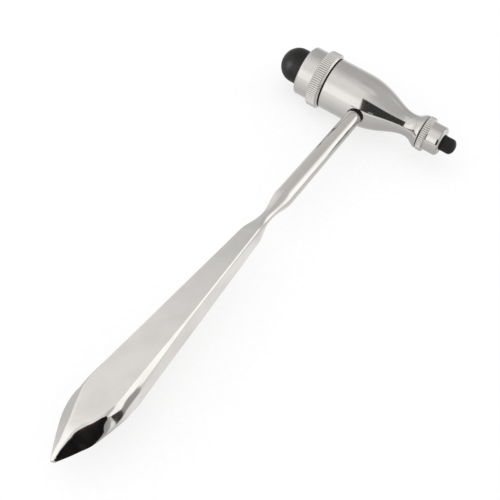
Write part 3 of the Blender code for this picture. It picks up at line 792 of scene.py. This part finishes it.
def grip_section(left_corner, right_corner, foot, underside):
    """Closed section over two corner curves, with an upright side from the foot to the right corner.

    The underside is the upper side turned half round, with its bulge made smaller by a share.
    """
    right_edge = right_corner[0]
    left_edge = left_corner[0]
    side = np.linspace((right_edge[0], foot), right_edge, SIDE_CUTS, endpoint=False)
    top = np.linspace(right_corner[-1], left_corner[-1], FLAT_CUTS + 1)[1:-1]
    upper = np.vstack([side, right_corner, top, left_corner[:0:-1]])

    def base(x):
        return mix(left_edge[1], foot, (x - left_edge[0]) / (right_edge[0] - left_edge[0]))

    lower_x = left_edge[0] + right_edge[0] - upper[:, 0]
    lower_z = base(lower_x) - underside * (upper[:, 1] - base(upper[:, 0]))
    return np.vstack([upper, np.stack([lower_x, lower_z], axis=1)])


def half_width(distance):
    """Half the grip's width, which grows to the grip's end and runs in to the spear's point."""
    along = min((distance - GRIP_START) / GRIP_LENGTH, 1.0)
    spear = max(0.0, (distance - GRIP_END) / (SPEAR_VERTEX - GRIP_END))
    return mix(GRIP_START_WIDTH, GRIP_END_WIDTH, along) / 2 * (1 - spear ** 2)


def grip_ring(distance):
    """Section of the flat grip at a distance."""
    along = (distance - GRIP_START) / GRIP_LENGTH
    across = half_width(distance)
    height = mix(GRIP_START_THICKNESS, GRIP_END_THICKNESS, along) / 2
    edge = mix(GRIP_START_EDGE, GRIP_END_EDGE, along)
    side_round = smooth((distance - SIDE_ROUND_START) / (GRIP_END - SIDE_ROUND_START))
    right_edge = mix(height - edge, SIDE_ROUND_END, side_round)
    left = corner_curve((-across, height - edge), (edge - across, height), ROUND_CORNER)
    right_top = across - CRISP_WIDTH * (height - right_edge)
    right = corner_curve((across, right_edge), (right_top, height), CRISP_CORNER)
    return grip_section(left, right, edge - height, 1.0)


def spear_line(name, distance):
    """Smooth line through the points of one of the spear's lines."""
    places, values = np.array(SPEAR_LINES[name]).T
    slopes = np.gradient(values, places)
    past = np.clip((distance - GRIP_END) * MM_PER_METRE, places[0], places[-1])
    i = min(np.searchsorted(places, past, side="right") - 1, len(places) - 2)
    span = places[i + 1] - places[i]
    t = (past - places[i]) / span
    from_first = (1 - t) ** 2 * ((1 + 2 * t) * values[i] + t * span * slopes[i])
    from_next = t ** 2 * ((3 - 2 * t) * values[i + 1] - (1 - t) * span * slopes[i + 1])
    return from_first + from_next


def spear_ring(distance):
    """Section of the spear point at a distance: a bevel on each side of a flat that narrows to a crest."""
    lines = {name: spear_line(name, distance) for name in SPEAR_LINES}
    metres = {name: value / MM_PER_METRE for name, value in lines.items()}
    across = half_width(distance)
    left_straight = smooth((distance - SPEAR_START) / LEFT_BEVEL_LEAD)
    right_straight = smooth((distance - GRIP_END) / RIGHT_BEVEL_LEAD)
    left_edge = (metres["shift"] - across, metres["left edge"])
    left_top = (metres["left top"], metres["height"])
    right_edge = (metres["shift"] + across, max(metres["right edge"], metres["foot"]))
    right_top = (metres["right top"], metres["height"])
    left = corner_curve(left_edge, left_top, ROUND_CORNER, lines["left shoulder"], left_straight)
    right = corner_curve(right_edge, right_top, CRISP_CORNER, lines["right shoulder"], right_straight)
    underside = mix(1.0, UNDERSIDE, smooth((distance - SPEAR_START) / UNDERSIDE_LEAD))
    section = grip_section(left, right, metres["foot"], underside)
    tip = max(0.0, (distance - SPEAR_END + TIP_ROUND_LENGTH) / TIP_ROUND_LENGTH)
    middle = np.array([metres["shift"], (metres["height"] + metres["foot"]) / 2])
    return middle + (section - middle) * max(math.sqrt(max(0.0, 1 - tip ** 2)), TIP_SHARE)


def handle_rings():
    """Rings of the tenon, shaft, waist, grip and spear point, as (distance, points of the section)."""
    depth = TENON_PITCH * THREAD_DEPTH_SHARE
    groove = TENON_RADIUS - depth * RELIEF_SHARE
    tenon, shaft, waist, grip, spear, tip = shaft_distances()
    rings = []
    circle = unit_circle()
    angles = np.arctan2(-circle[:, 0], circle[:, 1])
    for distance in tenon:
        radius = thread_radius(distance, angles, TENON_PITCH, TENON_RADIUS)
        radius = np.minimum(radius, TENON_RADIUS - depth + distance - TENON_END)
        rings.append((distance, circle * radius[:, None]))
    steps = [
        (THREAD_START, groove), (PILOT_END, groove),
        (PILOT_END, TENON_RADIUS), (SHAFT_TOP, TENON_RADIUS),
    ]
    for distance, radius in steps:
        rings.append((distance, circle * radius))
    for k in range(ARC_STEPS + 1):
        angle = math.pi / 2 * k / ARC_STEPS
        radius = SHAFT_TOP_RADIUS - SHAFT_ROUND * (1 - math.sin(angle))
        rings.append((SHAFT_TOP + SHAFT_ROUND * (1 - math.cos(angle)), circle * radius))
    for distance in shaft[1:]:
        radius = mix(SHAFT_TOP_RADIUS, SHAFT_FOOT_RADIUS, (distance - SHAFT_TOP) / SHAFT_LENGTH)
        rings.append((distance, circle * radius))
    for distance in waist:
        if distance < WAIST:
            bend = (1 - math.cos(math.pi * (distance - SHAFT_FOOT) / WAIST_DROP)) / 2
            rings.append((distance, circle * mix(SHAFT_FOOT_RADIUS, WAIST_RADIUS, bend)))
        else:
            bend = ((1 - math.cos(math.pi * (distance - WAIST) / WAIST_RISE)) / 2) ** WAIST_POWER
            rings.append((distance, mix(circle * WAIST_RADIUS, grip_ring(GRIP_START), bend)))
    for distance in grip:
        rings.append((distance, grip_ring(distance)))
    for distance in np.concatenate([spear, tip]):
        rings.append((distance, spear_ring(distance)))
    return rings


def make_handle():
    rings = handle_rings()
    turn = np.array(Matrix.Rotation(-GRIP_TURN, 3, "Y"))
    points = []
    for distance, section in rings:
        local = np.stack([section[:, 0], np.full(len(section), -distance), section[:, 1]], axis=1)
        points.append(local @ turn.T + np.array(HEAD))
    handle = skin("handle_skin", np.array(points))
    handle.data.set_sharp_from_angle(angle=HANDLE_SHARP_ANGLE)
    return handle


# Materials

class Nodes:
    """Short ways to add and join the nodes of one tree."""

    def __init__(self, tree):
        self.tree = tree

    def add(self, kind, **settings):
        node = self.tree.nodes.new(kind)
        for name, value in settings.items():
            setattr(node, name, value)
        return node

    def join(self, source, target):
        self.tree.links.new(source, target)

    def noise(self, vector, scale, detail):
        node = self.add("ShaderNodeTexNoise")
        node.inputs["Scale"].default_value = scale
        node.inputs["Detail"].default_value = detail
        self.join(vector, node.inputs["Vector"])
        return node.outputs["Fac"]

    def stretched(self, vector, scale):
        node = self.add("ShaderNodeMapping")
        node.inputs["Scale"].default_value = scale
        self.join(vector, node.inputs["Vector"])
        return node.outputs["Vector"]

    def spread(self, value, low, high, to_low, to_high):
        """Bring a value from one span to another, with soft ends."""
        node = self.add("ShaderNodeMapRange", interpolation_type="SMOOTHSTEP")
        for socket, number in zip(("From Min", "From Max", "To Min", "To Max"), (low, high, to_low, to_high)):
            node.inputs[socket].default_value = number
        self.join(value, node.inputs["Value"])
        return node.outputs["Result"]

    def ramp(self, value, stops):
        """Colours at places from 0 to 1."""
        node = self.add("ShaderNodeValToRGB")
        elements = node.color_ramp.elements
        while len(elements) < len(stops):
            elements.new(0.5)
        for element, (place, colour) in zip(elements, stops):
            element.position = place
            element.color = (*colour, 1.0)
        self.join(value, node.inputs["Fac"])
        return node.outputs["Color"]

    def bump(self, height, distance, strength):
        node = self.add("ShaderNodeBump")
        node.inputs["Distance"].default_value = distance
        node.inputs["Strength"].default_value = strength
        self.join(height, node.inputs["Height"])
        return node.outputs["Normal"]

    def sum(self, first, second, share):
        """First value plus a share of the second."""
        node = self.add("ShaderNodeMath", operation="MULTIPLY_ADD")
        self.join(second, node.inputs[0])
        node.inputs[1].default_value = share
        self.join(first, node.inputs[2])
        return node.outputs["Value"]


def new_material(name):
    material = bpy.data.materials.new(name)
    material.use_nodes = True
    nodes = Nodes(material.node_tree)
    place = nodes.add("ShaderNodeTexCoord").outputs["Object"]
    return material, nodes, place, material.node_tree.nodes["Principled BSDF"]


def chrome(name, tone, polish_scale, metallic):
    """Polished chrome with faint smudges and hairline polish marks, long in one direction."""
    material, nodes, place, shader = new_material(name)
    smudge = nodes.noise(place, SMUDGE_SCALE, SMUDGE_DETAIL)
    dull = tuple(DULL_SHARE * part for part in tone)
    colour = nodes.ramp(smudge, list(zip(DULL_SPAN, (dull, tone))))
    hairs = nodes.noise(nodes.stretched(place, polish_scale), 1.0, HAIR_DETAIL)
    roughness = nodes.sum(nodes.spread(smudge, *POLISH_SPAN, *SMUDGE_ROUGHNESS), hairs, HAIR_ROUGHNESS)
    nodes.join(colour, shader.inputs["Base Color"])
    nodes.join(roughness, shader.inputs["Roughness"])
    nodes.join(nodes.bump(hairs, HAIR_HEIGHT, HAIR_STRENGTH), shader.inputs["Normal"])
    shader.inputs["Metallic"].default_value = metallic
    return material


def rubber(name, tone, grain_scale):
    """Matte black rubber with a fine moulded grain and patches that are rubbed smoother."""
    material, nodes, place, shader = new_material(name)
    patches = nodes.noise(place, PATCH_SCALE, PATCH_DETAIL)
    grain = nodes.noise(place, grain_scale, GRAIN_DETAIL)
    dark, light = (tuple(share * part for part in tone) for share in RUBBER_SHARES)
    nodes.join(nodes.ramp(patches, list(zip(PATCH_SPAN, (dark, light)))), shader.inputs["Base Color"])
    nodes.join(nodes.spread(patches, *PATCH_SPAN, *RUBBER_ROUGHNESS), shader.inputs["Roughness"])
    nodes.join(nodes.bump(grain, GRAIN_HEIGHT, GRAIN_STRENGTH), shader.inputs["Normal"])
    shader.inputs["Specular IOR Level"].default_value = RUBBER_SHINE
    return material


# Studio

def grey(tone):
    return (tone, tone, tone)


def glow(name, stops, along, strength):
    """Material that shines by itself, with tones along its own X or Y from 0 to 1."""
    material = bpy.data.materials.new(name)
    material.use_nodes = True
    nodes = Nodes(material.node_tree)
    material.node_tree.nodes.remove(material.node_tree.nodes["Principled BSDF"])
    axes = nodes.add("ShaderNodeSeparateXYZ")
    nodes.join(nodes.add("ShaderNodeTexCoord").outputs["Generated"], axes.inputs["Vector"])
    shine = nodes.add("ShaderNodeEmission")
    shine.inputs["Strength"].default_value = strength
    nodes.join(nodes.ramp(axes.outputs[along], stops), shine.inputs["Color"])
    nodes.join(shine.outputs["Emission"], material.node_tree.nodes["Material Output"].inputs["Surface"])
    return material


def add_card(name, corners, material):
    """Card of the studio that only shows in reflections."""
    card = add_piece(name, corners, [(0, 1, 2, 3)])
    card.data.materials.append(material)
    card.visible_camera = False
    card.visible_diffuse = False
    card.visible_transmission = False
    card.visible_shadow = False


def upright(plan, low, high):
    """Corners of an upright card over a line in plan."""
    start, end = plan
    return [(*start, low), (*end, low), (*end, high), (*start, high)]


def tone_stops(tones):
    """Stops from 0 to 1 for tones at places of any span."""
    first = tones[0][0]
    span = tones[-1][0] - first
    return [((place - first) / span, grey(tone / BRIGHTEST)) for place, tone in tones]


def make_left_wall():
    """Wall of the tent on the left, bright at the camera's end and greyer behind the hammer."""
    material = glow("left_wall", tone_stops(LEFT_WALL_TONES), "Y", BRIGHTEST)
    add_card("left_wall", upright(LEFT_WALL, CARD_FOOT, LEFT_WALL_HEIGHT), material)


def make_panels():
    """Dark opening beside the spear, the hood over it, and the panels and strips that the metal mirrors."""
    panels = {
        "dark_panel": (DARK_PANEL, DARK_PANEL_TONES, "X"),
        "hood": (HOOD, HOOD_TONES, "X"),
        "side_panel": (upright(SIDE_PANEL, CARD_FOOT, SIDE_PANEL_HEIGHT), SIDE_PANEL_TONES, "Y"),
        "low_strip": (upright(LOW_STRIP, *LOW_STRIP_HEIGHT), LOW_STRIP_TONES, "Y"),
        "facet_strip": (FACET_STRIP, FACET_STRIP_TONES, "Y"),
        "bevel_strip": (upright(BEVEL_STRIP, *BEVEL_STRIP_HEIGHT), BEVEL_STRIP_TONES, "Y"),
    }
    for name, (corners, tones, along) in panels.items():
        add_card(name, corners, glow(name, tones, along, 1.0))


def make_floor_card(name, across, tones):
    """Card on the floor with painted light and shade along Y, brighter floor and the hammer's painted shadow,
    as the metal sees the floor.
    """
    left, right = across
    near = tones[0][0]
    far = tones[-1][0]
    corners = [(x, y, FLOOR_LIFT) for x, y in ((left, near), (right, near), (right, far), (left, far))]
    add_card(name, corners, glow(name, tone_stops(tones), "Y", BRIGHTEST))


def make_dome_lamp(rubber_end):
    """Small soft lamp close to the large rubber end, which shines along +Y on that end only."""
    light = bpy.data.lights.new("dome_lamp", "AREA")
    light.size = DOME_LAMP_SIZE
    light.energy = DOME_LAMP_POWER
    lamp = bpy.data.objects.new("dome_lamp", light)
    bpy.context.scene.collection.objects.link(lamp)
    lamp.location = DOME_LAMP
    lamp.rotation_euler = (math.pi / 2, 0, 0)
    lamp.visible_diffuse = False
    lit = bpy.data.collections.new("lit_by_dome_lamp")
    lit.objects.link(rubber_end)
    lamp.light_linking.receiver_collection = lit


def make_floor():
    """Matte floor that is white mostly by its own glow, so that the hammer's shadow stays faint."""
    corners = [(x * FLOOR_REACH, y * FLOOR_REACH, 0) for x, y in ((-1, -1), (1, -1), (1, 1), (-1, 1))]
    floor = add_piece("floor", corners, [(0, 1, 2, 3)])
    material, nodes, place, shader = new_material("floor_white")
    grain = nodes.noise(place, FLOOR_GRAIN, FLOOR_DETAIL)
    white = nodes.ramp(grain, [(at, grey(tone)) for at, tone in zip(FLOOR_SPAN, FLOOR_TONES)])
    nodes.join(white, shader.inputs["Base Color"])
    shader.inputs["Roughness"].default_value = 1.0
    shader.inputs["Specular IOR Level"].default_value = 0.0
    shader.inputs["Emission Color"].default_value = (1.0, 1.0, 1.0, 1.0)
    shader.inputs["Emission Strength"].default_value = FLOOR_GLOW
    floor.data.materials.append(material)


def make_world():
    """Light tent with walls and a ceiling that change by azimuth, and an even zenith."""
    world = bpy.data.worlds.new("studio")
    bpy.context.scene.world = world
    world.use_nodes = True
    nodes = Nodes(world.node_tree)
    axes = nodes.add("ShaderNodeSeparateXYZ")
    nodes.join(nodes.add("ShaderNodeTexCoord").outputs["Generated"], axes.inputs["Vector"])
    azimuth = nodes.add("ShaderNodeMath", operation="ARCTAN2")
    nodes.join(axes.outputs["X"], azimuth.inputs[0])
    nodes.join(axes.outputs["Y"], azimuth.inputs[1])
    turn = nodes.add("ShaderNodeMapRange")
    turn.inputs["From Min"].default_value = -math.pi
    turn.inputs["From Max"].default_value = math.pi
    nodes.join(azimuth.outputs["Value"], turn.inputs["Value"])

    def ring_of(tones):
        stops = [((degrees + 180) / 360, grey(tone / BRIGHTEST)) for degrees, tone in tones]
        return nodes.ramp(turn.outputs["Result"], stops)

    def over(lower, upper, start, full):
        """Blend from the lower to the upper colour between two elevations."""
        blend = nodes.add("ShaderNodeMix", data_type="RGBA")
        share = nodes.spread(axes.outputs["Z"], math.sin(start), math.sin(full), 0.0, 1.0)
        nodes.join(share, blend.inputs["Factor"])
        nodes.join(lower, blend.inputs["A"])
        nodes.join(upper, blend.inputs["B"])
        return blend.outputs["Result"]

    zenith = nodes.add("ShaderNodeRGB").outputs["Color"]
    zenith.default_value = (*grey(ZENITH_TONE / BRIGHTEST), 1.0)
    sky = over(ring_of(WALL_TONES), ring_of(CEILING_TONES), CEILING_START, CEILING_FULL)
    sky = over(sky, zenith, ZENITH_START, ZENITH_FULL)
    background = world.node_tree.nodes["Background"]
    nodes.join(sky, background.inputs["Color"])
    background.inputs["Strength"].default_value = BRIGHTEST


def make_camera():
    camera = bpy.data.objects.new("camera", bpy.data.cameras.new("camera"))
    camera.data.lens = CAMERA_LENS
    camera.data.sensor_width = CAMERA_SENSOR
    camera.data.clip_start = CAMERA_NEAR
    place = HEAD + CAMERA_PLACE
    facing = (CAMERA_TARGET - CAMERA_PLACE).to_track_quat("-Z", "Y").to_matrix().to_4x4()
    camera.matrix_world = Matrix.Translation(place) @ facing @ Matrix.Rotation(CAMERA_ROLL, 4, "Z")
    bpy.context.scene.collection.objects.link(camera)
    bpy.context.scene.camera = camera


def dress(piece, body, node, material):
    """Give a piece its material, let it ride on its body and stand for its node."""
    piece.data.materials.clear()
    piece.data.materials.append(material)
    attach(piece, body)
    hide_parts(node)


def main():
    bpy.context.scene.view_settings.view_transform = "Standard"
    handle_chrome = chrome("handle_chrome", HANDLE_TONE, HANDLE_POLISH, HANDLE_METALLIC)
    head_chrome = chrome("head_chrome", HEAD_TONE, HEAD_POLISH, HEAD_METALLIC)
    collar_chrome = chrome("collar_chrome", HEAD_TONE, HEAD_POLISH, HEAD_METALLIC)
    mallet_rubber = rubber("mallet_rubber", MALLET_TONE, MALLET_GRAIN)
    ring_rubber = rubber("ring_rubber", RING_TONE, RING_GRAIN)
    dress(make_handle(), "handle", "handle", handle_chrome)
    dress(make_head(), "head", "head_body", head_chrome)
    dress(make_large_collar(), "large_collar", "large_collar", collar_chrome)
    dress(make_small_collar(), "small_collar", "small_collar", collar_chrome)
    large_mallet = make_large_mallet()
    dress(large_mallet, "large_mallet", "large_mallet", mallet_rubber)
    dress(make_small_mallet(), "small_mallet", "small_mallet", mallet_rubber)
    dress(make_collar_ring(), "head", "collar_ring", ring_rubber)
    dress(make_shaft_ring(), "shaft_ring", "shaft_ring", ring_rubber)
    make_left_wall()
    make_panels()
    make_floor_card("floor_far", FLOOR_FAR, FLOOR_FAR_TONES)
    make_floor_card("floor_left", FLOOR_LEFT, FLOOR_LEFT_TONES)
    make_floor_card("floor_right", FLOOR_RIGHT, FLOOR_RIGHT_TONES)
    make_dome_lamp(large_mallet)
    make_floor()
    make_world()
    make_camera()


main()
